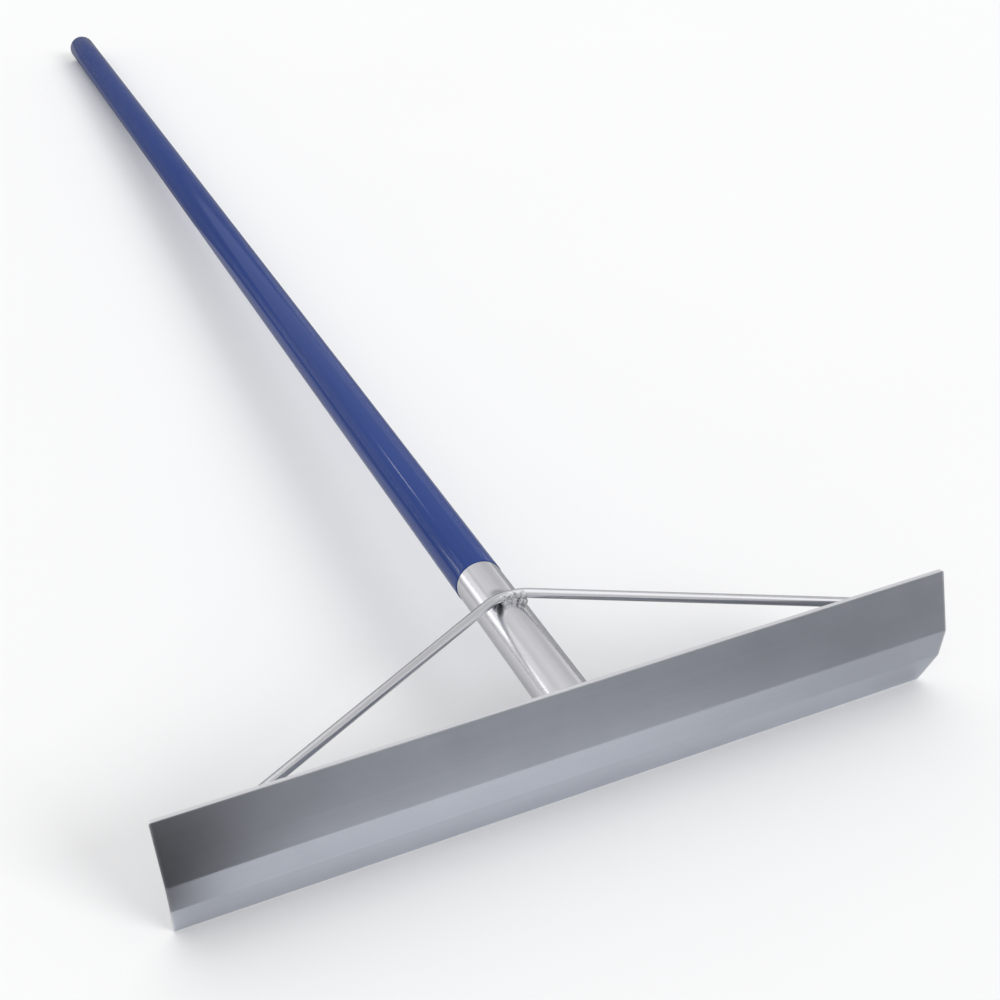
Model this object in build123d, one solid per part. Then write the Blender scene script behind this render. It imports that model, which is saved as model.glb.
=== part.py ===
from build123d import *
import math
import os

# A concrete rake: a folded aluminium blade welded across the foot of a long tube handle, with a bent rod
# that braces the handle against both ends of the blade. All lengths are in millimetres, angles in degrees.
# The pieces are drawn with the blade's upper panel upright, its front in the plane y = 0 and its first fold
# on the X axis, and are then laid down as the tool rests on a floor.

# Blade: a strip of sheet with two lengthwise folds, hollow on the side of the handle
blade_length = 495.3
sheet_thickness = 3.175
upper_width = 41.5
middle_width = 22.6
lower_width = 37.5
upper_fold_angle = 23.0
lower_fold_angle = 17.0
fold_inner_radius = 2.0
corner_radius = 1.5

# Handle: a round tube, mitred flat onto the blade's back, with a coating that starts at a ring
handle_length = 1676.4
handle_diameter = 31.75
handle_wall = 2.1
handle_angle = 10.0
foot_height = 20.0
coating_start = 156.0
coating_thickness = 0.3
coating_clearance = 0.1

# End plug: a moulded head on the tube's end and a stem with gripping ribs inside it
plug_head_thickness = 3.0
plug_head_setback = 0.3
plug_head_chamfer = 1.2
plug_rib_depth = 1.6
plug_fit_clearance = 0.1
plug_rib_count = 2
plug_rib_pitch = 9.0

# Brace: one rod bent into a flat V that rests on the tube and runs to the blade's back
rod_diameter = 6.35
rod_bend_radius = 30.0
rod_apex_distance = 107.0
rod_end_inset = 52.0
rod_end_height = 33.8
rod_root_gap = 0.2
rod_overrun_ratio = 1.1

# Welds: collars round the tube's foot and the rod's ends, and two beads where the rod crosses the tube. Those
# start and end at these angles round the tube, counted from its top to the right
foot_weld_leg = 4.5
brace_weld_leg = 3.5
weld_rim = 0.8
weld_rise_ratio = 0.7
saddle_weld_leg = 3.2
saddle_weld_depth = 5.2
right_saddle_start_angle = -22.0
right_saddle_end_angle = 49.0
left_saddle_start_angle = -46.0
left_saddle_end_angle = -24.0

handle_radius = handle_diameter / 2
coating_radius = handle_radius + coating_clearance + coating_thickness
rod_radius = rod_diameter / 2
rod_half_span = blade_length / 2 - rod_end_inset
lean = math.radians(handle_angle)
handle_axis = Vector(0, math.cos(lean), math.sin(lean))
handle_up = Vector(0, -math.sin(lean), math.cos(lean))
foot = Vector(0, sheet_thickness, foot_height)
blade_back = Plane(origin=(0, sheet_thickness, 0), x_dir=(1, 0, 0), z_dir=(0, 1, 0))
to_right = Vector(1, 0, 0)


def panel_step(width, turn):
    return Vector(math.sin(math.radians(turn)) * width, -math.cos(math.radians(turn)) * width)


blade_profile = [Vector(0, upper_width), Vector(0, 0)]
blade_profile.append(blade_profile[-1] + panel_step(middle_width, upper_fold_angle))
blade_profile.append(blade_profile[-1] + panel_step(lower_width, upper_fold_angle + lower_fold_angle))


def make_blade():
    with BuildSketch(Plane.YZ) as section:
        with BuildLine():
            FilletPolyline(blade_profile, radius=fold_inner_radius + sheet_thickness)
            offset(amount=sheet_thickness, side=Side.LEFT)
        make_face()
    strip = extrude(section.sketch, blade_length / 2, both=True)
    left_to_right = strip.faces().sort_by(Axis.X)
    corners = ShapeList()
    for end in (left_to_right[0], left_to_right[-1]):
        corners += end.edges().filter_by(GeomType.LINE).sort_by(SortBy.LENGTH)[:2]
    return fillet(corners, corner_radius)


def on_handle(distance, height=0.0):
    return foot + handle_axis * distance + handle_up * height


def across_handle(distance):
    # A plane square to the handle: its x points up from the handle, its y along the blade
    return Plane(origin=on_handle(distance), x_dir=handle_up, z_dir=handle_axis)


def handle_cylinder(radius, start, end):
    return extrude(across_handle(start) * Circle(radius), end - start)


# The tube as a full round bar, cut on the blade's back: what the bore is taken from and the welds fit round
handle_bar = split(
    handle_cylinder(handle_radius, -handle_diameter, handle_length), bisect_by=blade_back, keep=Keep.TOP
)


def make_handle_tube():
    return handle_bar - handle_cylinder(handle_radius - handle_wall, -handle_diameter, handle_length)


def make_handle_coating():
    outer = handle_cylinder(coating_radius, coating_start, handle_length)
    return outer - handle_cylinder(coating_radius - coating_thickness, coating_start, handle_length)


def make_end_plug():
    head_radius = handle_radius - plug_head_setback
    bore_radius = handle_radius - handle_wall
    rib_radius = bore_radius - plug_fit_clearance
    core_radius = rib_radius - plug_rib_depth
    outline = [(0, plug_head_thickness), (head_radius, plug_head_thickness)]
    outline += [(head_radius, 0), (core_radius, 0)]
    for rib in range(1, plug_rib_count + 1):
        depth = rib * plug_rib_pitch
        outline += [(rib_radius, -depth + plug_rib_pitch / 2), (core_radius, -depth)]
    outline.append((0, -plug_rib_count * plug_rib_pitch))
    with BuildSketch(Plane.XZ) as half_section:
        with BuildLine():
            Polyline(outline, close=True)
        make_face()
    plug = revolve(half_section.sketch, Axis.Z)
    plug = chamfer(plug.edges().group_by(Axis.Z)[-1], plug_head_chamfer)
    return across_handle(handle_length) * plug


# The brace lies in one plane: its bend's middle is on the tube's top and its arms end on the blade's back
brace_apex = on_handle(rod_apex_distance, handle_radius + rod_radius + rod_root_gap)
brace_fall = Vector(0, sheet_thickness, rod_end_height) - brace_apex
brace_inward = brace_fall.normalized()
brace_up = brace_inward.cross(to_right)
bend_centre = brace_apex + brace_inward * rod_bend_radius


def brace_corner():
    # The corner that the two straight arms would meet in if the rod's bend were sharp
    past_bend = brace_fall.length - rod_bend_radius
    slope = math.atan2(past_bend, rod_half_span)
    slope += math.asin(rod_bend_radius / math.hypot(past_bend, rod_half_span))
    return bend_centre - brace_inward * (rod_bend_radius / math.cos(slope))


def brace_end(side):
    return Vector(side * rod_half_span, sheet_thickness, rod_end_height)


def make_brace_rod():
    # The arms are drawn long and are then mitred flat on the blade's back
    corner = brace_corner()
    left, right = (corner + (brace_end(side) - corner) * rod_overrun_ratio for side in (-1, 1))
    path = FilletPolyline(left, corner, right, radius=rod_bend_radius)
    rod = sweep(Plane(path @ 0, z_dir=path % 0) * Circle(rod_radius), path=path)
    return split(rod, bisect_by=blade_back, keep=Keep.TOP)


def weld_collar(seat, direction, radius, leg):
    # A fillet weld round a round bar that leaves the blade's back at a slant
    rise = direction.Y
    slant = Vector(direction.X, 0, direction.Z).normalized()
    sections = []
    for height, growth in ((0, leg), (leg * weld_rise_ratio, weld_rim)):
        plane = Plane(seat + direction * (height / rise), x_dir=slant, z_dir=(0, 1, 0))
        sections.append(plane * Ellipse(radius / rise + growth, radius + growth))
    return loft(sections, ruled=True)


def saddle_bead(start_angle, end_angle, both_sides):
    # A bead along the rod's bend, in the wedge between it and the tube, behind the rod or on both sides of it
    turn_start, turn_end = (
        math.asin(handle_radius * math.sin(math.radians(angle)) / rod_bend_radius)
        for angle in (start_angle, end_angle)
    )
    outward = to_right * math.sin(turn_end) - brace_inward * math.cos(turn_end)
    plane = Plane(bend_centre + outward * rod_bend_radius, x_dir=outward, z_dir=outward.cross(brace_up))
    toe = rod_radius + saddle_weld_leg
    root = -rod_radius - saddle_weld_depth
    behind = [(rod_radius + weld_rim, -weld_rim), (toe, -rod_radius), (toe, root)]
    in_front = [(0, root), (0, -weld_rim)]
    if both_sides:
        in_front = [(-across, up) for across, up in reversed(behind)]
    section = Polygon(behind + in_front, align=None) - Circle(rod_radius)
    return revolve(plane * section, Axis(bend_centre, brace_up), math.degrees(turn_end - turn_start))


blade = make_blade()
brace_rod = make_brace_rod()
pieces = {
    "blade": blade,
    "handle_tube": make_handle_tube(),
    "handle_coating": make_handle_coating(),
    "end_plug": make_end_plug(),
    "brace_rod": brace_rod,
    "foot_weld": weld_collar(foot, handle_axis, handle_radius, foot_weld_leg) - handle_bar - blade,
    "left_saddle_weld": saddle_bead(left_saddle_start_angle, left_saddle_end_angle, False) - handle_bar,
    "right_saddle_weld": saddle_bead(right_saddle_start_angle, right_saddle_end_angle, True) - handle_bar,
}
for name, side in (("left_brace_weld", -1), ("right_brace_weld", 1)):
    arm = (brace_corner() - brace_end(side)).normalized()
    pieces[name] = weld_collar(brace_end(side), arm, rod_radius, brace_weld_leg) - brace_rod

# The tool rests on the blade's lower front edge and on the underside of the handle's far end
far_rim = on_handle(handle_length, -coating_radius)
lower_edge = blade_profile[-1]
tilt = math.degrees(math.atan2(far_rim.Z - lower_edge.Y, far_rim.Y - lower_edge.X))
laid = {name: Rot(X=-tilt) * piece for name, piece in pieces.items()}
box = Compound(list(laid.values())).bounding_box()
to_origin = Pos(-box.center().X, -box.center().Y, -box.min.Z)

os.makedirs("parts", exist_ok=True)
for name, piece in laid.items():
    export_step(to_origin * piece, f"parts/{name}.step")
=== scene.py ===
import math
import bmesh
import bpy
from mathutils import Matrix, Vector, noise


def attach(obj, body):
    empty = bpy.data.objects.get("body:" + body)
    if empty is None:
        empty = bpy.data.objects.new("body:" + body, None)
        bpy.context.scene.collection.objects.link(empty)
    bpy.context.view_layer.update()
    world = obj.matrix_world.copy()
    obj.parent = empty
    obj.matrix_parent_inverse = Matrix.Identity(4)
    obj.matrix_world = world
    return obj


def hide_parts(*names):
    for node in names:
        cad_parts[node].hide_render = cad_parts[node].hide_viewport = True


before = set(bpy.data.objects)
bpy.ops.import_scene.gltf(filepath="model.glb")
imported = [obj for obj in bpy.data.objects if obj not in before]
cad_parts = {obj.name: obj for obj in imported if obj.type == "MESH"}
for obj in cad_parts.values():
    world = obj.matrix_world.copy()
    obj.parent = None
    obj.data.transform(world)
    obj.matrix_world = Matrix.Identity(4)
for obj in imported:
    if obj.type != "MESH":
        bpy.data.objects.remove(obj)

scene = bpy.context.scene
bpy.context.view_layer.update()  # kept before anything is added
print("frame loaded,", len(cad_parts), "solids")

# Every piece is drawn in millimetres with the blade's upper panel upright, its front in the plane y = 0 and
# its first fold on the X axis. layDown then turns it as the rake lies on the floor and brings it to metres.
millimetre = 0.001
toRight = Vector((1, 0, 0))
toHandle = Vector((0, 1, 0))  # square to the blade's back


def addNode(tree, kind, inputs=None, **settings):
    node = tree.nodes.new(kind)
    for name, value in settings.items():
        setattr(node, name, value)
    for name, value in (inputs or {}).items():
        if isinstance(value, bpy.types.NodeSocket):
            tree.links.new(value, node.inputs[name])
        else:
            node.inputs[name].default_value = value
    return node


def newFinish(name, **sockets):
    finish = bpy.data.materials.new(name)
    finish.use_nodes = True
    shader = finish.node_tree.nodes["Principled BSDF"]
    for socket, value in sockets.items():
        shader.inputs[socket.replace("_", " ")].default_value = value
    return finish, finish.node_tree, shader


def objectSpot(tree):
    return addNode(tree, "ShaderNodeTexCoord").outputs["Object"]


# Noise drawn out by stretch, which counts the cells in a metre
def grain(tree, spot, stretch, detail=3.0, turn=(0, 0, 0), roughness=0.55):
    place = addNode(tree, "ShaderNodeMapping", {"Vector": spot, "Rotation": turn, "Scale": stretch})
    return addNode(tree, "ShaderNodeTexNoise", {
        "Vector": place.outputs["Vector"], "Scale": 1.0, "Detail": detail, "Roughness": roughness,
    }).outputs["Fac"]


# From low to high; most of a noise lies in the range that is taken by default
def spread(tree, value, low, high, fromLow=0.25, fromHigh=0.75):
    return addNode(tree, "ShaderNodeMapRange", {
        "Value": value, "From Min": fromLow, "From Max": fromHigh, "To Min": low, "To Max": high,
    }).outputs["Result"]


def times(tree, first, second):
    return addNode(tree, "ShaderNodeMath", {0: first, 1: second}, operation="MULTIPLY").outputs[0]


def plus(tree, first, second):
    return addNode(tree, "ShaderNodeMath", {0: first, 1: second}, operation="ADD").outputs[0]


def tint(tree, share, first, second):  # from the first colour to the second
    node = addNode(tree, "ShaderNodeMix", data_type="RGBA")
    tree.links.new(share, node.inputs[0])
    for socket, colour in ((node.inputs[6], first), (node.inputs[7], second)):
        if isinstance(colour, bpy.types.NodeSocket):
            tree.links.new(colour, socket)
        else:
            socket.default_value = (*colour, 1)
    return node.outputs[2]


def shade(tree, colour, share):  # a colour made lighter or darker
    return addNode(tree, "ShaderNodeVectorMath", {0: colour, "Scale": share}, operation="SCALE").outputs[0]


def relief(tree, shader, height, distance, strength=1.0):  # distance in metres
    bump = addNode(tree, "ShaderNodeBump", {"Height": height, "Distance": distance, "Strength": strength})
    tree.links.new(bump.outputs["Normal"], shader.inputs["Normal"])


def newDraft(name, mesh):
    draft = bpy.data.objects.new(name, mesh)
    scene.collection.objects.link(draft)
    return draft


def finishMesh(draft, name):  # the draft's modifiers become a plain mesh and the draft goes
    bpy.context.view_layer.update()
    mesh = bpy.data.meshes.new_from_object(draft.evaluated_get(bpy.context.evaluated_depsgraph_get()))
    mesh.name = name
    bpy.data.objects.remove(draft)
    return mesh


def closeShape(shape, mesh):
    shape.to_mesh(mesh)
    shape.free()
    return mesh


def settle(name, mesh, finish, sharpAngle=40):
    mesh.transform(layDown)
    mesh.materials.clear()
    mesh.materials.append(finish)
    if not mesh.has_custom_normals:
        mesh.shade_smooth()
        mesh.set_sharp_from_angle(angle=math.radians(sharpAngle))
    piece = bpy.data.objects.new(name, mesh)
    scene.collection.objects.link(piece)
    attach(piece, "root")
    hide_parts(name)
    print(name, "made,", len(mesh.polygons), "faces")


# Blade: a sheet strip with two soft lengthwise folds, sheared edges and slightly rounded corners
bladeSheet = {
    "length": 495.3,
    "thickness": 3.175,
    "panels": (41.5, 22.6, 37.5),  # upper, middle, lower
    "folds": (23, 17),
    "foldRadius": 5.175,  # on the front
    "foldSteps": 10,
    "cornerRadius": 1.5,
    "cornerSteps": 8,
    "edgeRound": 0.28,
    "edgeSteps": 3,
    "rimReach": 0.9,  # how far in from the edge the sheet is rubbed bright and carries a painted highlight
    "flatInset": 6.0,  # how far in from the edge the even grid starts
    "columns": 24,
    "tones": ((0.550, 0.577, 0.643), (0.576, 0.601, 0.660)),
    # near white: the rubbed edge's own brightness with a painted highlight on top
    "rubbedAndHighlitTone": (0.96, 0.96, 0.97),
}


# Rows of (y, z, the normal's y and z, distance from the top edge) down the sheet's front, and its full width
def bladeRows():
    panels, folds = bladeSheet["panels"], bladeSheet["folds"]
    radius, steps = bladeSheet["foldRadius"], bladeSheet["foldSteps"]
    corner, cornerSteps = bladeSheet["cornerRadius"], bladeSheet["cornerSteps"]
    cuts = [0.0] + [radius * math.tan(math.radians(fold) / 2) for fold in folds] + [0.0]
    edge = [corner * (1 - math.cos(math.pi / 2 * k / cornerSteps)) for k in range(1, cornerSteps + 1)]
    edge += [bladeSheet["rimReach"], bladeSheet["flatInset"]]
    rows, y, z, turn, gone = [], 0.0, panels[0], 0.0, 0.0
    for index, width in enumerate(panels):
        run = width - cuts[index] - cuts[index + 1]
        marks = {run}
        if index == 0:
            marks.update([0.0] + edge)
        if index == len(panels) - 1:
            marks.update(run - mark for mark in edge)
        across, down = math.sin(math.radians(turn)), -math.cos(math.radians(turn))
        for mark in sorted(marks):
            rows.append((y + across * mark, z + down * mark, down, -across, gone + mark))
        y, z, gone = y + across * run, z + down * run, gone + run
        if index == len(folds):
            break
        start = math.radians(turn)
        for step in range(1, steps + 1):
            bend = math.radians(turn + folds[index] * step / steps)
            rows.append((
                y + radius * (math.cos(start) - math.cos(bend)),
                z - radius * (math.sin(bend) - math.sin(start)),
                -math.cos(bend),
                -math.sin(bend),
                gone + radius * (bend - start),
            ))
        y, z, gone = rows[-1][0], rows[-1][1], rows[-1][4]
        turn += folds[index]
    return rows, gone


def makeBlade():
    rows, width = bladeRows()
    half, corner, reach = bladeSheet["length"] / 2, bladeSheet["cornerRadius"], bladeSheet["rimReach"]
    flat, columns = bladeSheet["flatInset"], bladeSheet["columns"]
    inner = [-half + flat + 2 * (half - flat) * k / columns for k in range(columns + 1)]
    shape = bmesh.new()
    rim = shape.verts.layers.float.new("rim")
    sides = []
    for depth in (0.0, bladeSheet["thickness"]):
        grid = []
        for index, (y, z, normalY, normalZ, gone) in enumerate(rows):
            near = min(gone, width - gone)
            inset = corner - math.sqrt(corner ** 2 - (corner - near) ** 2) if near < corner else 0.0
            ends = [half - inset, half - corner, half - reach - corner]
            line = [-x for x in ends] + inner + ends[::-1]
            verts = []
            for column, x in enumerate(line):
                vert = shape.verts.new((x, y - normalY * depth, z - normalZ * depth))
                edgeOn = column in (0, len(line) - 1) or index in (0, len(rows) - 1)
                vert[rim] = 1.0 if edgeOn else max(0.0, 1 - min(near, half - abs(x)) / reach)
                verts.append(vert)
            grid.append(verts)
        sides.append(grid)
    for grid, order in zip(sides, (1, -1)):
        for upper, lower in zip(grid, grid[1:]):
            for k in range(len(upper) - 1):
                corners = (upper[k], lower[k], lower[k + 1], upper[k + 1])
                shape.faces.new(corners[::order])
    loops = []
    for grid in sides:
        rightEnd = [row[-1] for row in grid[1:-1]]
        leftEnd = [row[0] for row in grid[-2:0:-1]]
        loops.append(grid[0] + rightEnd + grid[-1][::-1] + leftEnd)
    front, back = loops
    for k in range(len(front)):
        n = (k + 1) % len(front)
        shape.faces.new((front[k], front[n], back[n], back[k]))
    bmesh.ops.recalc_face_normals(shape, faces=shape.faces)
    weight = shape.edges.layers.float.new("bevel_weight_edge")
    for loop in loops:
        for first, second in zip(loop, loop[1:] + loop[:1]):
            shape.edges.get((first, second))[weight] = 1.0
    mesh = closeShape(shape, bpy.data.meshes.new("bladeDraft"))
    mesh.shade_smooth()
    draft = newDraft("bladeDraft", mesh)
    rounding = draft.modifiers.new("edges", "BEVEL")
    rounding.limit_method = "WEIGHT"
    rounding.width = bladeSheet["edgeRound"]
    rounding.segments = bladeSheet["edgeSteps"]
    rounding.harden_normals = True
    return finishMesh(draft, "blade")


def sheetFinish():
    finish, tree, shader = newFinish("bladeSheet", Metallic=1.0)
    spot = objectSpot(tree)
    streaks = grain(tree, spot, (5, 1300, 1300), 4.0)  # rolling lines along the blade
    bands = grain(tree, spot, (3, 130, 130), 2.0)
    clouds = grain(tree, spot, (30, 30, 30), 4.0)
    scuffs = grain(tree, spot, (40, 900, 900), 2.0, turn=(0.4, 0.5, 0.3))
    rim = addNode(tree, "ShaderNodeAttribute", attribute_name="rim").outputs["Fac"]
    tone = times(tree, spread(tree, streaks, 0.965, 1.035), spread(tree, clouds, 0.975, 1.025))
    tone = times(tree, tone, spread(tree, bands, 0.985, 1.015))
    colour = shade(tree, tint(tree, clouds, *bladeSheet["tones"]), tone)
    # the edges are rubbed bright and lifted near to white as a painted highlight
    rubbedAndHighlit = times(tree, rim, spread(tree, streaks, 0.75, 1.0))
    tree.links.new(tint(tree, rubbedAndHighlit, colour, bladeSheet["rubbedAndHighlitTone"]), shader.inputs["Base Color"])
    gloss = plus(tree, spread(tree, streaks, 0.42, 0.48), spread(tree, clouds, -0.02, 0.02))
    gloss = plus(tree, gloss, spread(tree, scuffs, 0.0, -0.06, 0.62, 0.75))
    tree.links.new(plus(tree, gloss, times(tree, rim, 0.2)), shader.inputs["Roughness"])
    relief(tree, shader, streaks, 0.00002, 0.5)
    return finish


# Handle: a drawn tube, mitred on the blade's back, and the coating on most of its length
handleTube = {
    "footHeight": 20.0,  # where its axis meets the blade's back, over the first fold
    "angle": 10.0,
    "length": 1676.4,
    "radius": 15.875,
    "wall": 2.1,
    "edgeRound": 0.35,
    "sides": 160,
    "rings": (0, 8, 30, 60, 90, 120, 156, 500, 1000, 1500),
    "boreRings": (1500, 156, 8, 0),
    "tones": ((0.765, 0.760, 0.798), (0.79, 0.786, 0.818)),
}
coating = {
    "start": 156.0,
    "clearance": 0.1,
    "thickness": 0.3,
    "lip": 0.22,
    "rings": (160, 200, 400, 700, 1000, 1300, 1600),
    "innerRings": (1600, 1000, 400),
    "tones": ((0.011, 0.043, 0.224), (0.015, 0.047, 0.232)),
    "speckTone": (0.03, 0.08, 0.33),
}
weldSootAndShade = {  # dark patches on the tube by the weld: soot, and painted shade in the pit under the rod; half sizes across and along the tube, before the slant
    "tone": (0.07, 0.074, 0.082),
    "fade": (0.4, 1.0),  # in half sizes from a patch's middle
    "patches": (
        {"along": 100.8, "turn": -25.0, "slant": -22.0, "half": (2.8, 8.5), "strength": 1.0},  # in the pit under the rod: painted shade, with some soot
        {"along": 117.5, "turn": -6.0, "slant": -31.0, "half": (7.0, 5.2), "strength": 0.5},  # by the rod
    ),
}
lean = math.radians(handleTube["angle"])
handleAxis = Vector((0, math.cos(lean), math.sin(lean)))
handleUp = Vector((0, -math.sin(lean), math.cos(lean)))
handleFoot = Vector((0, bladeSheet["thickness"], handleTube["footHeight"]))
coatInner = handleTube["radius"] + coating["clearance"]
coatOuter = coatInner + coating["thickness"]


def onHandle(along, angle, radius):  # the angle counts from the top to the right
    out = handleUp * math.cos(angle) + toRight * math.sin(angle)
    return handleFoot + handleAxis * along + out * radius


# Turns an outline of (along, radius) round the handle's axis. A ring at 0 is mitred on the blade's back, and
# a radius of 0 makes a pole.
def lathe(name, outline, sides, closed=True):
    shape = bmesh.new()
    rings = []
    for along, radius in outline:
        ring = []
        for k in range(sides if radius else 1):
            angle = 2 * math.pi * k / sides
            cut = radius * math.cos(angle) * math.tan(lean) if along == 0 else 0.0
            ring.append(shape.verts.new(onHandle(along + cut, angle, radius)))
        rings.append(ring)
    pairs = list(zip(rings, rings[1:]))
    if closed:
        pairs.append((rings[-1], rings[0]))
    for first, second in pairs:
        for k in range(sides):
            n = (k + 1) % sides
            corners = [first[k % len(first)], first[n % len(first)]]
            corners += [second[n % len(second)], second[k % len(second)]]
            shape.faces.new(list(dict.fromkeys(corners)))
    bmesh.ops.recalc_face_normals(shape, faces=shape.faces)
    return closeShape(shape, bpy.data.meshes.new(name))


def roundedCorner(along, radius, size, fromAngle, toAngle, steps=4):  # a quarter round, angles from the axis
    points = []
    for k in range(steps + 1):
        angle = math.radians(fromAngle + (toAngle - fromAngle) * k / steps)
        points.append((along + size * math.cos(angle), radius + size * math.sin(angle)))
    return points


def makeTube():
    length, outer, size = handleTube["length"], handleTube["radius"], handleTube["edgeRound"]
    inner = outer - handleTube["wall"]
    outline = [(mark, outer) for mark in handleTube["rings"]]
    outline += roundedCorner(length - size, outer - size, size, 90, 0)
    outline += roundedCorner(length - size, inner + size, size, 0, -90)
    outline += [(mark, inner) for mark in handleTube["boreRings"]]
    return lathe("handle_tube", outline, handleTube["sides"])


def makeCoating():
    start, length, lip = coating["start"], handleTube["length"], coating["lip"]
    outline = [(start, coatInner)] + roundedCorner(start + lip, coatOuter - lip, lip, 180, 90)
    outline += [(mark, coatOuter) for mark in coating["rings"]]
    outline += roundedCorner(length - lip, coatOuter - lip, lip, 90, 0) + [(length, coatInner)]
    outline += [(mark, coatInner) for mark in coating["innerRings"]]
    return lathe("handle_coating", outline, handleTube["sides"])


def handleSpot(tree):  # Object coordinates, turned so that Y runs along the handle
    spot, turn = objectSpot(tree), handleTurn.to_euler()
    return addNode(tree, "ShaderNodeMapping", {"Vector": spot, "Rotation": turn}).outputs["Vector"]


def sootAndShadeShare(tree, spot):  # 1 where the soot and the painted shade are thick, 0 where the tube is clean
    flecks = spread(tree, grain(tree, spot, (900, 900, 900)), 0.75, 1.0)
    total = 0.0
    for patch in weldSootAndShade["patches"]:
        middle = onHandle(patch["along"], math.radians(patch["turn"]), handleTube["radius"])
        across, along = (half * millimetre for half in patch["half"])
        place = addNode(tree, "ShaderNodeMapping", {
            "Vector": spot,
            "Location": handleTurn @ (layDown @ middle),
            "Rotation": (0, 0, math.radians(patch["slant"])),
            "Scale": (across, along, max(across, along)),
        }, vector_type="TEXTURE").outputs["Vector"]
        distance = addNode(tree, "ShaderNodeVectorMath", {0: place}, operation="LENGTH").outputs["Value"]
        total = plus(tree, total, spread(tree, distance, patch["strength"], 0.0, *weldSootAndShade["fade"]))
    return times(tree, total, flecks)


def tubeFinish():
    finish, tree, shader = newFinish("bareTube", Metallic=1.0)
    spot = handleSpot(tree)
    lines = grain(tree, spot, (1100, 4, 1100), 4.0)  # drawing lines along the tube
    wide = grain(tree, spot, (160, 2, 160), 2.0)
    smears = grain(tree, spot, (70, 45, 70), 4.0)
    sootAndShade = sootAndShadeShare(tree, spot)
    tone = times(tree, spread(tree, lines, 0.97, 1.03), spread(tree, wide, 0.975, 1.025))
    colour = shade(tree, tint(tree, smears, *handleTube["tones"]), tone)
    # darkened by soot, and in the pit under the rod by painted shade
    tree.links.new(tint(tree, sootAndShade, colour, weldSootAndShade["tone"]), shader.inputs["Base Color"])
    gloss = plus(tree, spread(tree, lines, 0.22, 0.25), spread(tree, smears, -0.01, 0.015))
    tree.links.new(plus(tree, gloss, times(tree, sootAndShade, 0.3)), shader.inputs["Roughness"])
    relief(tree, shader, lines, 0.00001, 0.4)
    return finish


def coatingFinish():
    finish, tree, shader = newFinish("blueCoating", IOR=1.38)
    spot = handleSpot(tree)
    peel = grain(tree, spot, (420, 300, 420), 2.0)  # the slight orange peel of sprayed paint
    drift = grain(tree, spot, (30, 6, 30))
    drawn = grain(tree, spot, (260, 5, 260), 2.0)  # the tube's lines, showing faintly through
    specks = grain(tree, spot, (800, 800, 800), 2.0, turn=(0.2, 0.1, 0))
    colour = tint(tree, spread(tree, drift, 0.0, 1.0), *coating["tones"])
    colour = shade(tree, colour, spread(tree, drawn, 0.93, 1.07))
    colour = tint(tree, spread(tree, specks, 0.0, 0.12, 0.66, 0.8), colour, coating["speckTone"])
    tree.links.new(colour, shader.inputs["Base Color"])
    gloss = plus(tree, spread(tree, drift, 0.07, 0.10), spread(tree, peel, -0.015, 0.015))
    tree.links.new(gloss, shader.inputs["Roughness"])
    relief(tree, shader, plus(tree, peel, times(tree, specks, 0.3)), 0.00003, 0.35)
    return finish


# End plug: a moulded cap with a dished head, and the ribbed stem that holds it in the tube
endPlug = {
    "headSetback": 0.3,  # from the tube's outside
    "headThickness": 3.0,
    "headRound": 1.2,
    "headSteps": 6,
    "dishDepth": 0.8,
    "dish": (  # height over the dish's floor and radius, from the gate mark in the middle out to the rim
        (0.25, 0), (0.25, 1.28), (0.18, 1.6), (0, 1.75), (0, 9.5), (0.12, 10.0), (0.65, 10.42), (0.8, 10.65),
    ),
    "ribClearance": 0.1,  # from the tube's bore
    "ribDepth": 1.6,
    "ribPitch": 9.0,
    "ribs": 2,
    "tipHalf": 0.3,  # the ribs' tips are blunted over twice this length
    "tipDrop": 0.1,
    "sides": 128,
    "tones": ((0.022, 0.022, 0.023), (0.042, 0.041, 0.040)),
}
plugTop = handleTube["length"] + endPlug["headThickness"]
plugHead = handleTube["radius"] - endPlug["headSetback"]
plugFlat = plugHead - endPlug["headRound"]  # radius of the head's flat end


def makePlug():
    end, size, pitch = handleTube["length"], endPlug["headRound"], endPlug["ribPitch"]
    rib = handleTube["radius"] - handleTube["wall"] - endPlug["ribClearance"]
    core = rib - endPlug["ribDepth"]
    blunt, shoulder = endPlug["tipHalf"], rib - endPlug["tipDrop"]
    outline = [(plugTop - endPlug["dishDepth"] + height, radius) for height, radius in endPlug["dish"]]
    outline += roundedCorner(plugTop - size, plugFlat, size, 0, 90, endPlug["headSteps"])
    outline += [(end, plugHead), (end, core)]
    for index in range(endPlug["ribs"]):
        tip = end - pitch * (index + 0.5)
        outline += [(tip + blunt, shoulder), (tip, rib), (tip - blunt, shoulder), (tip - pitch / 2, core)]
    outline.append((end - pitch * endPlug["ribs"], 0))
    return lathe("end_plug", outline, endPlug["sides"], closed=False)


def plugFinish():
    finish, tree, shader = newFinish("blackPlastic", IOR=1.48)
    spot = objectSpot(tree)
    pores = grain(tree, spot, (2600, 2600, 2600))  # the mould's spark grain
    dust = grain(tree, spot, (240, 240, 240), 5.0, turn=(0.3, 0.2, 0.1))
    colour = tint(tree, spread(tree, dust, 0.0, 1.0), *endPlug["tones"])
    tree.links.new(colour, shader.inputs["Base Color"])
    tree.links.new(spread(tree, dust, 0.46, 0.62), shader.inputs["Roughness"])
    relief(tree, shader, pores, 0.00004, 0.5)
    return finish


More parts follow.
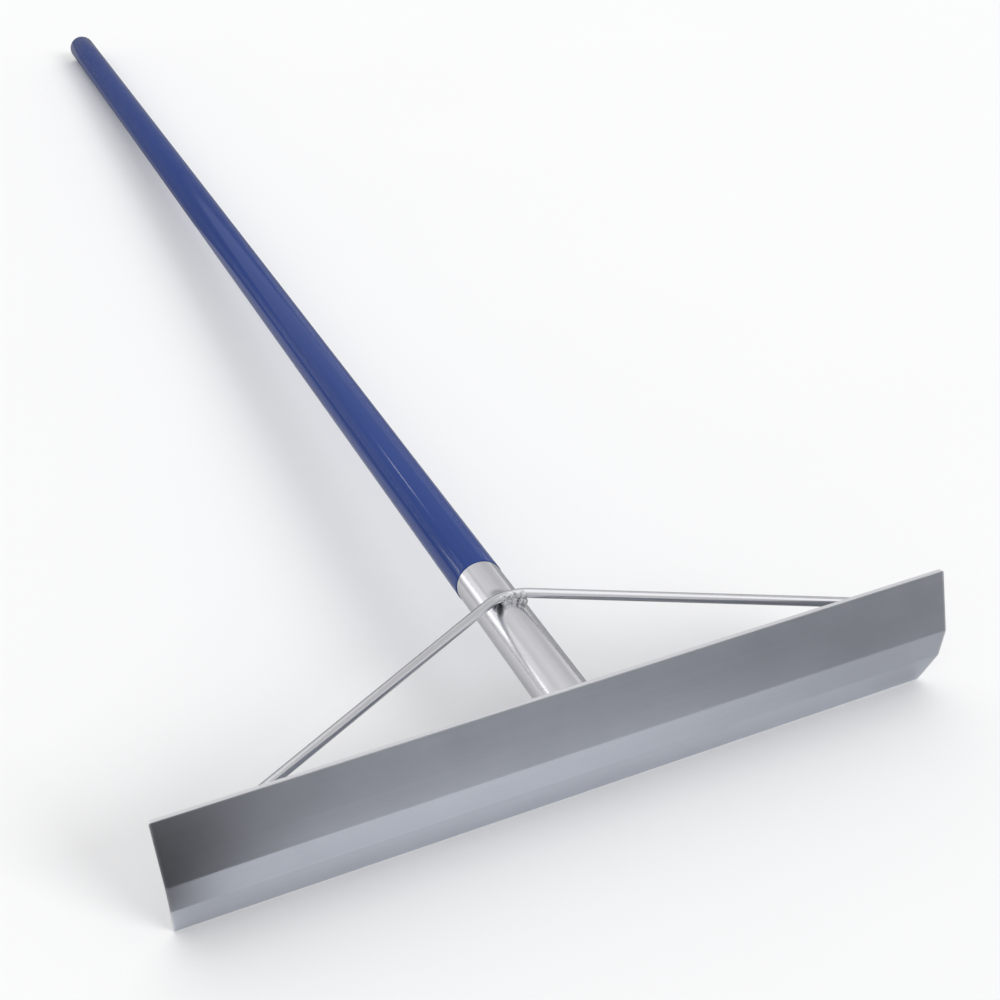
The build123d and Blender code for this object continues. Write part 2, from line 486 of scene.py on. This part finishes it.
# Brace: one bright rod bent over the tube, cut flat where its arms meet the blade's back
braceRod = {
    "radius": 3.175,
    "bendRadius": 30.0,
    "bendSteps": 40,
    "sides": 48,
    "apexAlong": 107.0,
    "rootGap": 0.2,  # between the rod and the tube
    "endInset": 52.0,  # from the blade's ends
    "endHeight": 33.8,  # over the first fold
    "overrun": 1.1,  # times this the arms are drawn, before they are cut
    "cutMerge": 0.0001,
    "tones": ((0.74, 0.74, 0.772), (0.80, 0.80, 0.825)),
}
endX = bladeSheet["length"] / 2 - braceRod["endInset"]
apexRise = handleTube["radius"] + braceRod["radius"] + braceRod["rootGap"]
braceApex = onHandle(braceRod["apexAlong"], 0, apexRise)
braceFall = Vector((0, bladeSheet["thickness"], braceRod["endHeight"])) - braceApex
braceInward = braceFall.normalized()
braceUp = braceInward.cross(toRight)
bendCentre = braceApex + braceInward * braceRod["bendRadius"]
pastBend = braceFall.length - braceRod["bendRadius"]
armSlope = math.atan2(pastBend, endX) + math.asin(braceRod["bendRadius"] / math.hypot(pastBend, endX))
braceCorner = bendCentre - braceInward * (braceRod["bendRadius"] / math.cos(armSlope))


def braceEnd(side):
    return Vector((side * endX, bladeSheet["thickness"], braceRod["endHeight"]))


def newTree(name, sockets):
    tree = bpy.data.node_groups.new(name, "GeometryNodeTree")
    ids = {}
    for socket, kind in sockets.items():
        added = tree.interface.new_socket(socket, in_out="INPUT", socket_type="NodeSocket" + kind)
        ids[socket] = added.identifier
    tree.interface.new_socket("Geometry", in_out="OUTPUT", socket_type="NodeSocketGeometry")
    return tree, ids, tree.nodes.new("NodeGroupInput").outputs


def endTree(tree, geometry, finish):  # real geometry with its finish on, because the export drops instances
    real = addNode(tree, "GeometryNodeRealizeInstances", {"Geometry": geometry})
    dressed = addNode(tree, "GeometryNodeSetMaterial", {"Geometry": real.outputs[0], "Material": finish})
    addNode(tree, "NodeGroupOutput", {"Geometry": dressed.outputs[0]})


def useTree(draft, tree, ids, values):
    growth = draft.modifiers.new(tree.name, "NODES")
    growth.node_group = tree
    for socket, value in values.items():
        growth[ids[socket]] = value


def bentRodTree():  # a bent line becomes a round rod that knows its own length and turn
    tree, ids, given = newTree("bentRod", {
        "Line": "Geometry", "Rod Radius": "Float", "Sides": "Int", "Bend Radius": "Float",
        "Bend Steps": "Int", "Finish": "Material",
    })
    line = addNode(tree, "GeometryNodeMeshToCurve", {"Mesh": given["Line"]})
    bend = addNode(tree, "GeometryNodeFilletCurve", {
        "Curve": line.outputs[0], "Count": given["Bend Steps"], "Radius": given["Bend Radius"],
    }, mode="POLY")
    reach = addNode(tree, "GeometryNodeSplineParameter")
    path = addNode(tree, "GeometryNodeStoreNamedAttribute", {
        "Geometry": bend.outputs[0], "Name": "along", "Value": reach.outputs["Length"],
    }, data_type="FLOAT", domain="POINT")
    ring = addNode(tree, "GeometryNodeCurvePrimitiveCircle", {
        "Resolution": given["Sides"], "Radius": given["Rod Radius"],
    })
    turn = addNode(tree, "GeometryNodeInputPosition")
    section = addNode(tree, "GeometryNodeStoreNamedAttribute", {
        "Geometry": ring.outputs[0], "Name": "around", "Value": turn.outputs[0],
    }, data_type="FLOAT_VECTOR", domain="POINT")
    rod = addNode(tree, "GeometryNodeCurveToMesh", {
        "Curve": path.outputs[0], "Profile Curve": section.outputs[0],
    })
    endTree(tree, rod.outputs[0], given["Finish"])
    return tree, ids


def makeRod(finish):
    tree, ids = bentRodTree()
    left, right = (braceCorner + (braceEnd(side) - braceCorner) * braceRod["overrun"] for side in (-1, 1))
    line = bpy.data.meshes.new("rodLine")
    line.from_pydata([left, braceCorner, right], [(0, 1), (1, 2)], [])
    draft = newDraft("rodDraft", line)
    useTree(draft, tree, ids, {
        "Rod Radius": braceRod["radius"], "Sides": braceRod["sides"], "Bend Radius": braceRod["bendRadius"],
        "Bend Steps": braceRod["bendSteps"], "Finish": finish,
    })
    mesh = finishMesh(draft, "brace_rod")
    shape = bmesh.new()
    shape.from_mesh(mesh)
    bmesh.ops.bisect_plane(
        shape, geom=shape.verts[:] + shape.edges[:] + shape.faces[:], dist=braceRod["cutMerge"],
        plane_co=toHandle * bladeSheet["thickness"], plane_no=toHandle, clear_inner=True,
    )
    bmesh.ops.holes_fill(shape, edges=[edge for edge in shape.edges if edge.is_boundary])
    bmesh.ops.recalc_face_normals(shape, faces=shape.faces)
    return closeShape(shape, mesh)


def rodFinish():
    finish, tree, shader = newFinish("brightRod", Metallic=1.0)
    around = addNode(tree, "ShaderNodeAttribute", attribute_name="around").outputs["Vector"]
    along = addNode(tree, "ShaderNodeAttribute", attribute_name="along").outputs["Fac"]
    rise = addNode(tree, "ShaderNodeCombineXYZ", {"Z": along}).outputs[0]
    spot = addNode(tree, "ShaderNodeVectorMath", {0: around, 1: rise}, operation="ADD").outputs[0]
    lines = grain(tree, spot, (2.2, 2.2, 0.01))  # drawing lines, here in cells per millimetre
    smears = grain(tree, spot, (0.25, 0.25, 0.06))
    colour = tint(tree, smears, *braceRod["tones"])
    tree.links.new(shade(tree, colour, spread(tree, lines, 0.95, 1.05)), shader.inputs["Base Color"])
    gloss = plus(tree, spread(tree, lines, 0.16, 0.24), spread(tree, smears, -0.02, 0.05))
    tree.links.new(gloss, shader.inputs["Roughness"])
    relief(tree, shader, lines, 0.00001, 0.4)
    return finish


# Welds: overlapping drops of filler along each joint, melted together into one rippled bead
collarBead = {"stretch": 0.7, "uneven": 0.08, "sway": 0.12, "lumps": 0.1, "climb": 0.3, "stations": 96}
footBead = {**collarBead, "size": 3.1, "pitch": 1.5, "offset": 0.9, "seed": 3}
braceBead = {**collarBead, "size": 2.3, "pitch": 1.2, "offset": 0.7, "seed": 7}
saddleBead = {
    "size": 1.0,  # times each run's own
    "pitch": 1.0,
    "stretch": 0.8,
    "uneven": 0.1,
    "sway": 0.2,
    "lumps": 0.22,
    "lowReach": 0.9,  # from the rod's middle, in rod radii, for a run below it
    "highReach": 0.62,  # and for one above it
    "sink": 0.4,  # of a low run towards the tube, beyond half the gap
    "lift": 0.5,  # turns the drops' outsides up
    "stations": 24,
}
saddleRuns = {  # from and to, right of the handle's middle; angle round the rod from straight up; size
    "right_saddle_weld": {
        "runs": (
            (-2.6, 11.4, -130, 2.5), (-4.2, 11.6, -84, 2.0), (-4.6, 11.0, -45, 1.7), (-4.8, 10.5, 122, 2.4),
        ),
        "seed": 12,
    },
    "left_saddle_weld": {
        "runs": ((-9.8, -6.6, 126, 2.2), (-9.6, -7.0, 85, 1.7)),
        "seed": 21,
    },
}
weldMelt = {
    "lean": 28.0,  # of the drops along the bead
    "flatness": 0.86,
    "dropDetail": 4,
    "voxel": 0.22,
    "smoothing": 3,
    "softening": 0.5,
    "lumpSize": 1.7,
    "valleyDepth": 0.04,  # what counts as a full valley between two ripples
    "valleyLevel": 0.3,  # of an even surface
    "tones": ((0.90, 0.90, 0.91), (0.64, 0.64, 0.67)),
    # the tone of the painted shade and soot in the ripples' valleys
    "sootAndShadeTone": (0.10, 0.10, 0.11),
}


def weldBeadTree():
    tree, ids, given = newTree("weldBead", {
        "Path": "Geometry", "Ripple Pitch": "Float", "Bead Size": "Float", "Ripple Stretch": "Float",
        "Flatness": "Float", "Lean": "Float", "Unevenness": "Float", "Sway": "Float", "Drop Detail": "Int",
        "Seed": "Int", "Finish": "Material",
    })
    line = addNode(tree, "GeometryNodeMeshToCurve", {"Mesh": given["Path"]})
    steps = addNode(tree, "GeometryNodeResampleCurve", {
        "Curve": line.outputs[0], "Length": given["Ripple Pitch"],
    }, mode="LENGTH")
    sway = addNode(tree, "FunctionNodeRandomValue", {
        0: (-1, -1, -1), "Seed": given["Seed"],
    }, data_type="FLOAT_VECTOR")
    drift = addNode(tree, "ShaderNodeVectorMath", {
        0: sway.outputs[0], "Scale": given["Sway"],
    }, operation="SCALE")
    strewn = addNode(tree, "GeometryNodeSetPosition", {
        "Geometry": steps.outputs[0], "Offset": drift.outputs[0],
    })
    weight = addNode(tree, "GeometryNodeInputNamedAttribute", {"Name": "weight"}, data_type="FLOAT")
    heading = addNode(tree, "GeometryNodeInputTangent")
    outward = addNode(tree, "GeometryNodeInputNamedAttribute", {"Name": "outward"}, data_type="FLOAT_VECTOR")
    axes = addNode(tree, "FunctionNodeAxesToRotation", {
        "Primary Axis": heading.outputs[0], "Secondary Axis": outward.outputs[0],
    }, primary_axis="Z", secondary_axis="X")
    tip = addNode(tree, "ShaderNodeCombineXYZ", {"Y": given["Lean"]})
    turn = addNode(tree, "FunctionNodeEulerToRotation", {"Euler": tip.outputs[0]})
    leaned = addNode(tree, "FunctionNodeRotateRotation", {
        "Rotation": axes.outputs[0], "Rotate By": turn.outputs[0],
    }, rotation_space="LOCAL")
    small = addNode(tree, "ShaderNodeMath", {0: 1.0, 1: given["Unevenness"]}, operation="SUBTRACT")
    luck = addNode(tree, "FunctionNodeRandomValue", {
        2: small.outputs[0], 3: plus(tree, 1.0, given["Unevenness"]), "Seed": given["Seed"],
    }, data_type="FLOAT")
    size = times(tree, times(tree, given["Bead Size"], weight.outputs[0]), luck.outputs[1])
    flat, short = times(tree, size, given["Flatness"]), times(tree, size, given["Ripple Stretch"])
    scale = addNode(tree, "ShaderNodeCombineXYZ", {"X": flat, "Y": size, "Z": short})
    drop = addNode(tree, "GeometryNodeMeshIcoSphere", {"Radius": 1.0, "Subdivisions": given["Drop Detail"]})
    drops = addNode(tree, "GeometryNodeInstanceOnPoints", {
        "Points": strewn.outputs[0], "Instance": drop.outputs[0], "Rotation": leaned.outputs[0],
        "Scale": scale.outputs[0],
    })
    endTree(tree, drops.outputs[0], given["Finish"])
    return tree, ids


def pathMesh(name, runs):  # runs of (points, outward directions, share of the bead's size, closed)
    mesh = bpy.data.meshes.new(name)
    verts, edges, outs, shares = [], [], [], []
    for points, outward, share, closed in runs:
        first = len(verts)
        verts += points
        outs += outward
        shares += [share] * len(points)
        edges += [(first + k, first + k + 1) for k in range(len(points) - 1)]
        if closed:
            edges.append((len(verts) - 1, first))
    mesh.from_pydata(verts, edges, [])
    layer = mesh.attributes.new("outward", "FLOAT_VECTOR", "POINT")
    layer.data.foreach_set("vector", [value for direction in outs for value in direction])
    mesh.attributes.new("weight", "FLOAT", "POINT").data.foreach_set("value", shares)
    return mesh


def collarRun(seat, direction, radius, bead):  # round a bar that leaves the blade's back at a slant
    slant = Vector((direction.x, 0, direction.z)).normalized()
    side = toHandle.cross(slant)
    offset, stations = bead["offset"], bead["stations"]
    points, outs = [], []
    for k in range(stations):
        angle = 2 * math.pi * k / stations
        way = slant * math.cos(angle) + side * math.sin(angle)
        shift = slant * (math.cos(angle) * radius / direction.y) + side * (math.sin(angle) * radius)
        points.append(seat + shift + way * offset + toHandle * offset + direction * (offset * bead["climb"]))
        outs.append((way + toHandle).normalized())
    return points, outs, 1.0, True


def saddleRun(start, end, angle, size):  # along the rod's bend; a low run sits between the rod and the tube
    points, outs = [], []
    across, rise = math.sin(math.radians(angle)), math.cos(math.radians(angle))
    low = rise < 0
    reach = braceRod["radius"] * saddleBead["lowReach" if low else "highReach"]
    for k in range(saddleBead["stations"] + 1):
        x = start + (end - start) * k / saddleBead["stations"]
        turn = math.asin(x / braceRod["bendRadius"])
        outward = toRight * math.sin(turn) - braceInward * math.cos(turn)
        middle = bendCentre + outward * braceRod["bendRadius"]
        gap = handleTube["radius"] - math.sqrt(handleTube["radius"] ** 2 - x ** 2) + braceRod["rootGap"]
        sink = gap / 2 + saddleBead["sink"] if low else 0.0
        points.append(middle + outward * (across * reach) + braceUp * (rise * reach - sink))
        outs.append((outward * across + braceUp * (rise + saddleBead["lift"])).normalized())
    return points, outs, size, False


def neighbours(vert):
    return [edge.other_vert(vert) for edge in vert.link_edges]


def meanPlace(verts):
    return sum((vert.co for vert in verts), Vector()) / len(verts)


def makeBead(name, runs, bead, seed, finish, tree, ids):
    draft = newDraft(name + "Draft", pathMesh(name + "Path", runs))
    useTree(draft, tree, ids, {
        "Ripple Pitch": bead["pitch"], "Bead Size": bead["size"], "Ripple Stretch": bead["stretch"],
        "Flatness": weldMelt["flatness"], "Lean": math.radians(weldMelt["lean"]),
        "Unevenness": bead["uneven"], "Sway": bead["sway"], "Drop Detail": weldMelt["dropDetail"],
        "Seed": seed, "Finish": finish,
    })
    melt = draft.modifiers.new("melt", "REMESH")
    melt.mode = "VOXEL"
    melt.voxel_size = weldMelt["voxel"]
    soften = draft.modifiers.new("soften", "SMOOTH")
    soften.factor = weldMelt["softening"]
    soften.iterations = weldMelt["smoothing"]
    mesh = finishMesh(draft, name)
    shape = bmesh.new()
    shape.from_mesh(mesh)
    shape.normal_update()
    for vert in shape.verts:
        vert.co += vert.normal * (bead["lumps"] * noise.noise(vert.co / weldMelt["lumpSize"]))
    shape.normal_update()
    valley = shape.verts.layers.float.new("valley")  # how deep a point lies between the ripples
    for vert in shape.verts:
        near = neighbours(vert)
        far = [second for first in near for second in neighbours(first)]
        middle = (meanPlace(near) + meanPlace(far)) / 2
        depth = (middle - vert.co).dot(vert.normal) / weldMelt["valleyDepth"] + weldMelt["valleyLevel"]
        vert[valley] = max(0.0, min(1.0, depth))
    return closeShape(shape, mesh)


def weldFinish():
    finish, tree, shader = newFinish("weldMetal", Metallic=1.0)
    spot = objectSpot(tree)
    scale = grain(tree, spot, (900, 900, 900), 4.0)
    stain = grain(tree, spot, (420, 420, 420), turn=(0.5, 0.2, 0.1))
    valley = addNode(tree, "ShaderNodeAttribute", attribute_name="valley").outputs["Fac"]
    clean = tint(tree, stain, *weldMelt["tones"])
    # darker in the valleys between the ripples: painted shade with soot, and random stains on top
    sootAndShade = times(tree, spread(tree, valley, 0.0, 0.85, 0.3, 0.8), spread(tree, stain, 0.35, 1.0))
    sootAndShade = plus(tree, sootAndShade, spread(tree, stain, 0.0, 0.7, 0.58, 0.7))
    colour = tint(tree, sootAndShade, clean, weldMelt["sootAndShadeTone"])
    tree.links.new(shade(tree, colour, spread(tree, scale, 0.92, 1.08)), shader.inputs["Base Color"])
    gloss = plus(tree, spread(tree, scale, 0.30, 0.46), times(tree, sootAndShade, 0.2))
    tree.links.new(gloss, shader.inputs["Roughness"])
    relief(tree, shader, scale, 0.00006, 0.5)
    return finish


footRun = collarRun(handleFoot, handleAxis, handleTube["radius"], footBead)
beads = {"foot_weld": ([footRun], footBead, footBead["seed"])}
for name, side in (("left_brace_weld", -1), ("right_brace_weld", 1)):
    arm = (braceCorner - braceEnd(side)).normalized()
    armRun = collarRun(braceEnd(side), arm, braceRod["radius"], braceBead)
    beads[name] = ([armRun], braceBead, braceBead["seed"] + side)
for name, saddle in saddleRuns.items():
    beads[name] = ([saddleRun(*run) for run in saddle["runs"]], saddleBead, saddle["seed"])

# Lying down: the rake rests on the blade's lower front edge and on the underside of the handle's far end.
# The frame's origin is on the floor, under the middle of the rake's length.
bladeFront = [Vector((0, y, z)) for y, z, *others in bladeRows()[0]]
restSpan = onHandle(handleTube["length"], math.pi, coatOuter) - bladeFront[-1]
tilt = math.atan2(restSpan.z, restSpan.y)
lieFlat = Matrix.Rotation(-tilt, 4, "X")
nearEnd = min((lieFlat @ place).y for place in bladeFront)
farEnd = (lieFlat @ onHandle(plugTop, 0, plugFlat)).y
floorLevel = (lieFlat @ bladeFront[-1]).z
toOrigin = Matrix.Translation((0, -(nearEnd + farEnd) / 2, -floorLevel))
layDown = Matrix.Scale(millimetre, 4) @ toOrigin @ lieFlat
handleTurn = Matrix.Rotation(tilt - lean, 3, "X")  # brings the lying handle onto Y
print("tilt", round(math.degrees(tilt), 4), "degrees")

# The pieces are made, laid down and put in the place of their solids
brightRod, weldMetal = rodFinish(), weldFinish()
beadTree, beadIds = weldBeadTree()
settle("blade", makeBlade(), sheetFinish())
settle("handle_tube", makeTube(), tubeFinish())
settle("handle_coating", makeCoating(), coatingFinish())
settle("end_plug", makePlug(), plugFinish())
settle("brace_rod", makeRod(brightRod), brightRod)
for name, (runs, bead, seed) in beads.items():
    mesh = makeBead(name, runs, bead, seed, weldMetal, beadTree, beadIds)
    settle(name, mesh, weldMetal, sharpAngle=180)

# Stage: a white floor, a room that is bright overhead and one soft lamp from the front right
stage = {
    "floorTone": 0.955,
    "floorDrift": 0.004,
    "floorHalf": 15.0,
    "keyFrom": (2.9, -5.4, 3.6),
    "keySpread": 22.0,
    "keyPower": 1.2,
    "roomTint": (0.99, 0.993, 1.0),
    "ceiling": 1.18,
    "upperWall": 0.42,
    "lowerWall": 0.96,  # as pale as the floor, up to lowerWallTop
    "lowerWallTop": (0.12, 0.34),
}


def newStage(name, corners, faces, finish):
    mesh = bpy.data.meshes.new(name)
    mesh.from_pydata(corners, [], faces)
    mesh.materials.append(finish)
    part = bpy.data.objects.new(name, mesh)
    scene.collection.objects.link(part)
    return part


def floorFinish():
    finish, tree, shader = newFinish("floorWhite", Roughness=0.9, Specular_IOR_Level=0.0)
    drift = spread(tree, grain(tree, objectSpot(tree), (3, 3, 3)), 0.0, 1.0)
    dull, bright = ((stage["floorTone"] + side * stage["floorDrift"],) * 3 for side in (-1, 1))
    tree.links.new(tint(tree, drift, dull, bright), shader.inputs["Base Color"])
    return finish


half = stage["floorHalf"]
floorCorners = [(-half, -half, 0), (half, -half, 0), (half, half, 0), (-half, half, 0)]
newStage("floor", floorCorners, [(0, 1, 2, 3)], floorFinish())

world = bpy.data.worlds.new("room")
scene.world = world
world.use_nodes = True
room = world.node_tree
way = addNode(room, "ShaderNodeTexCoord").outputs["Generated"]
height = addNode(room, "ShaderNodeSeparateXYZ", {0: way}).outputs["Z"]
roomTone = spread(room, times(room, height, height), stage["upperWall"], stage["ceiling"], 0.0, 1.0)
paleWall = spread(room, height, stage["lowerWall"] - stage["upperWall"], 0.0, *stage["lowerWallTop"])
backdrop = room.nodes["Background"]
room.links.new(plus(room, roomTone, paleWall), backdrop.inputs["Strength"])
backdrop.inputs["Color"].default_value = (*stage["roomTint"], 1)

keyLight = bpy.data.lights.new("keyLight", "SUN")
keyLight.angle = math.radians(stage["keySpread"])
keyLight.energy = stage["keyPower"]
keyLamp = bpy.data.objects.new("keyLamp", keyLight)
scene.collection.objects.link(keyLamp)
keyLamp.visible_glossy = False
keyLamp.location = stage["keyFrom"]
keyLamp.rotation_mode = "QUATERNION"
keyLamp.rotation_quaternion = keyLamp.location.to_track_quat("Z", "Y")
print("floor, room and lamp set")

# Cards that are seen only in reflections: dim and pale ones for the place where the photograph was taken,
# and two small glowing ones for the bright marks on the handle. Tones run from left to right over the fade.
cards = {
    "front": {
        "line": (
            (-0.7, -0.80), (-0.262, -0.872), (-0.225, -0.895), (-0.15, -0.975),
            (0.1, -0.965), (0.27, -0.915), (0.7, -0.90),
        ),
        "height": 0.105,
        "tones": (0.05, 0.40),
        "fade": (-0.25, -0.09),
    },
    "back": {
        "height": 0.8,
        "walls": (  # two ends, tones, fade
            ((-2.2, 2.2), (0.0, 2.2), (0.5, 0.2), (-1.3, -0.9)),
            ((0.0, 2.2), (2.2, 2.2), (0.2, 0.4), (0.9, 1.2)),
        ),
    },
    "top": {  # what the left brace arm shows
        "corners": ((0.5, 1.0), (1.5, 1.0), (5.8, -2.6), (4.8, -4.2), (0.6, -1.0)),
        "height": 2.0,
        "tone": 0.6,
    },
    "glow": {  # the pale field round the streak
        "corners": (
            (-0.32, 0.42), (-0.46, 0.31), (-0.52, 0.16), (-0.73, 0.196), (-0.65, 0.415), (-0.48, 0.615),
        ),
        "place": 0.0,
        "tone": 0.95,
    },
    "streak": {  # the white streak on the bare tube
        "corners": ((-0.46, 0.15), (-0.76, 0.23), (-0.76, 0.33), (-0.46, 0.24)),
        "place": -0.02,
        "power": 1.6,
    },
    "glint": {  # the fine line on the coat
        "corners": ((-0.31, 0.92), (-0.41, 0.92), (-0.45, 1.02), (-0.35, 1.02)),
        "place": 1.0,
        "power": 4.0,
    },
    "floor": {
        "height": 0.002,
        "fields": (  # left front and right back corner, tones, fade
            ((-0.30, -0.815), (1.5, -0.30), (0.64, 0.38), (-0.01, 0.01)),  # beside the bare tube
            ((-2.2, -0.30), (0.0, 0.15), (0.3, 0.54), (-0.25, -0.12)),  # left of the coat
            ((-2.2, 0.15), (-0.05, 2.2), (0.45, 0.18), (-1.2, -0.8)),
            ((0.0, -0.30), (2.2, 0.15), (0.26, 0.26), (0, 1)),  # on its right
            ((-0.05, 0.15), (2.2, 2.2), (0.32, 0.26), (-0.01, 0.01)),
            ((-0.55, -0.97), (-0.15, -0.848), (0.10, 0.94), (-0.247, -0.212)),  # by the blade's left end
            ((0.0, -0.93), (0.55, -0.842), (0.94, 0.60), (0.02, 0.26)),  # by its right end
            ((0.19, -0.8415), (0.45, -0.8245), (0.955, 0.64), (0.2, 0.265)),  # under its lower right corner
        ),
    },
}


def greyFinish(name, tones, fade=(0, 1)):
    finish, tree, shader = newFinish(name, Roughness=1.0, Specular_IOR_Level=0.0)
    across = addNode(tree, "ShaderNodeSeparateXYZ", {0: objectSpot(tree)}).outputs["X"]
    first, second = ((tone,) * 3 for tone in tones)
    share = spread(tree, across, 0.0, 1.0, *fade)
    tree.links.new(tint(tree, share, first, second), shader.inputs["Base Color"])
    return finish


def makeCard(name, corners, finish, faces=None):
    card = newStage(name, corners, faces or [range(len(corners))], finish)
    card.visible_camera = False
    card.visible_diffuse = False
    card.visible_shadow = False


def makeWall(name, line, height, finish):
    corners = [(x, y, 0) for x, y in line] + [(x, y, height) for x, y in line]
    faces = [(k, k + 1, len(line) + k + 1, len(line) + k) for k in range(len(line) - 1)]
    makeCard(name, corners, finish, faces)


def flatCard(name, outline, height, finish):
    makeCard(name, [(x, y, height) for x, y in outline], finish)


def uprightCard(name, finish):
    card = cards[name]
    makeCard(name + "Card", [(x, card["place"], z) for x, z in card["corners"]], finish)


frontGrey = greyFinish("frontGrey", cards["front"]["tones"], cards["front"]["fade"])
makeWall("frontCard", cards["front"]["line"], cards["front"]["height"], frontGrey)
for index, (left, right, tones, fade) in enumerate(cards["back"]["walls"]):
    backGrey = greyFinish(f"backGrey{index}", tones, fade)
    makeWall(f"backCard{index}", (left, right), cards["back"]["height"], backGrey)
topGrey = greyFinish("topGrey", (cards["top"]["tone"],) * 2)
flatCard("topCard", cards["top"]["corners"], cards["top"]["height"], topGrey)
uprightCard("glow", greyFinish("glowWhite", (cards["glow"]["tone"],) * 2))
for name in ("streak", "glint"):
    power = cards[name]["power"]
    uprightCard(name, newFinish(name + "White", Emission_Color=(1, 1, 1, 1), Emission_Strength=power)[0])
for index, ((left, front), (right, back), tones, fade) in enumerate(cards["floor"]["fields"]):
    outline = ((left, front), (right, front), (right, back), (left, back))
    floorGrey = greyFinish(f"floorGrey{index}", tones, fade)
    flatCard(f"floorCard{index}", outline, cards["floor"]["height"], floorGrey)
print("cards set")

# Camera: where the photograph was taken from
shot = {
    "lens": 57.4535,
    "sensor": 36,
    "place": (-0.27869, -1.47849, 0.68296),
    "right": (0.92179, -0.383313, -0.058093),
    "up": (0.254931, 0.486399, 0.835719),
}
right, up = Vector(shot["right"]).normalized(), Vector(shot["up"]).normalized()
lens = bpy.data.cameras.new("photoLens")
lens.sensor_width = shot["sensor"]
lens.lens = shot["lens"]
camera = bpy.data.objects.new("photoCamera", lens)
scene.collection.objects.link(camera)
aim = Matrix((right, up, right.cross(up))).transposed().to_4x4()
camera.matrix_world = Matrix.Translation(shot["place"]) @ aim
scene.camera = camera
scene.view_settings.view_transform = "Standard"
print("camera set")
